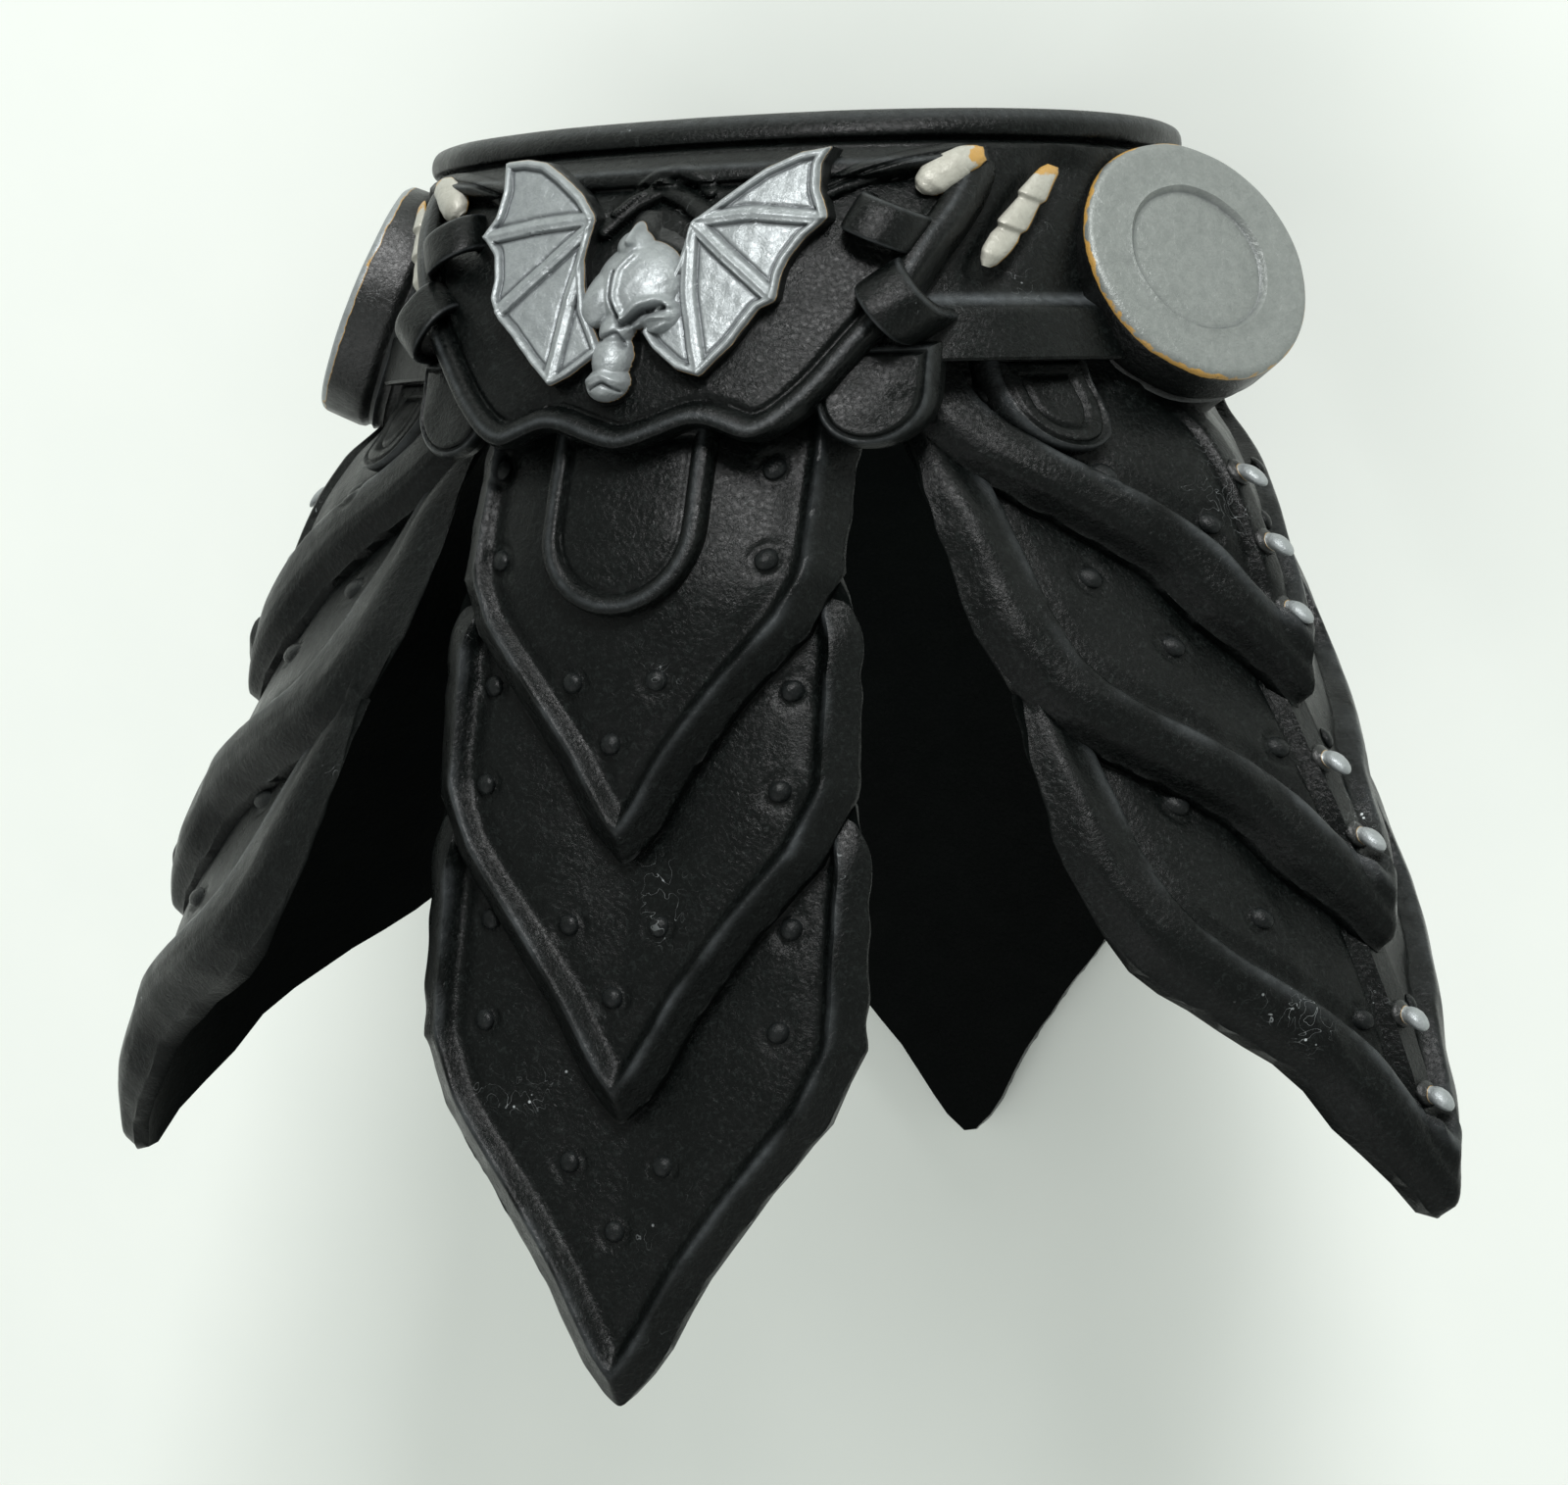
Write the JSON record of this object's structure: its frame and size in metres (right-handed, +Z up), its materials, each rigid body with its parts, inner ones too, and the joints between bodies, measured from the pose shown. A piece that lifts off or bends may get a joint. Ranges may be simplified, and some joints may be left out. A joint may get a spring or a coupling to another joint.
{
  "type": "action figure fauld",
  "caption": "Moulded fauld for an action figure: waist rim, winged bat on a shield belt, hip discs and four hanging plates of overlapping lames.",
  "frame": {"origin": "on the surface it lies on, under the middle of its bounding box", "axes": "+Z up from the table it lies on, front of the armour up; +X to the viewer's right seen from the front; +Y towards the waist rim, -Y towards the plates' tips"},
  "size_m": [0.063, 0.058, 0.0513],
  "materials": {
    "black_soft_vinyl": "satin near-black moulded soft vinyl with a fine grain and pale scuffs",
    "silver_paint": "flat silver-grey model paint, lightly mottled, over black vinyl",
    "bone_silver_paint": "pale silver paint over an ochre underpaint that shows at the edges"
  },
  "bodies": {
    "root": {"waist_rim": "black_soft_vinyl", "waist_band": "black_soft_vinyl", "belt_plate": "black_soft_vinyl", "belt_cord": "black_soft_vinyl", "bat_body": "silver_paint", "bat_wing_left": "silver_paint", "bat_wing_right": "silver_paint", "front_tongue": "black_soft_vinyl", "keeper_left_upper": "black_soft_vinyl", "keeper_left_lower": "black_soft_vinyl", "horn_claw_left": "bone_silver_paint", "finger_claw_left": "bone_silver_paint", "hub_cap_left": "silver_paint", "hub_base_left": "black_soft_vinyl", "belt_tab_left": "black_soft_vinyl", "hip_tab_left": "black_soft_vinyl", "spike_left_1": "silver_paint", "spike_left_2": "silver_paint", "spike_left_3": "silver_paint", "spike_left_4": "silver_paint", "spike_left_5": "silver_paint", "spike_left_6": "silver_paint", "spike_left_7": "silver_paint", "keeper_right_upper": "black_soft_vinyl", "keeper_right_lower": "black_soft_vinyl", "horn_claw_right": "bone_silver_paint", "finger_claw_right": "bone_silver_paint", "hub_cap_right": "silver_paint", "hub_base_right": "black_soft_vinyl", "belt_tab_right": "black_soft_vinyl", "hip_tab_right": "black_soft_vinyl", "spike_right_1": "silver_paint", "spike_right_2": "silver_paint", "spike_right_3": "silver_paint", "spike_right_4": "silver_paint", "spike_right_5": "silver_paint", "spike_right_6": "silver_paint", "spike_right_7": "silver_paint", "front_lame_upper": "black_soft_vinyl", "front_lame_middle": "black_soft_vinyl", "front_lame_lower": "black_soft_vinyl", "rear_lame_upper": "black_soft_vinyl", "rear_lame_middle": "black_soft_vinyl", "rear_lame_lower": "black_soft_vinyl", "left_lame_upper": "black_soft_vinyl", "left_lame_middle": "black_soft_vinyl", "left_lame_lower": "black_soft_vinyl", "right_lame_upper": "black_soft_vinyl", "right_lame_middle": "black_soft_vinyl", "right_lame_lower": "black_soft_vinyl"}
  },
  "joints": []
}
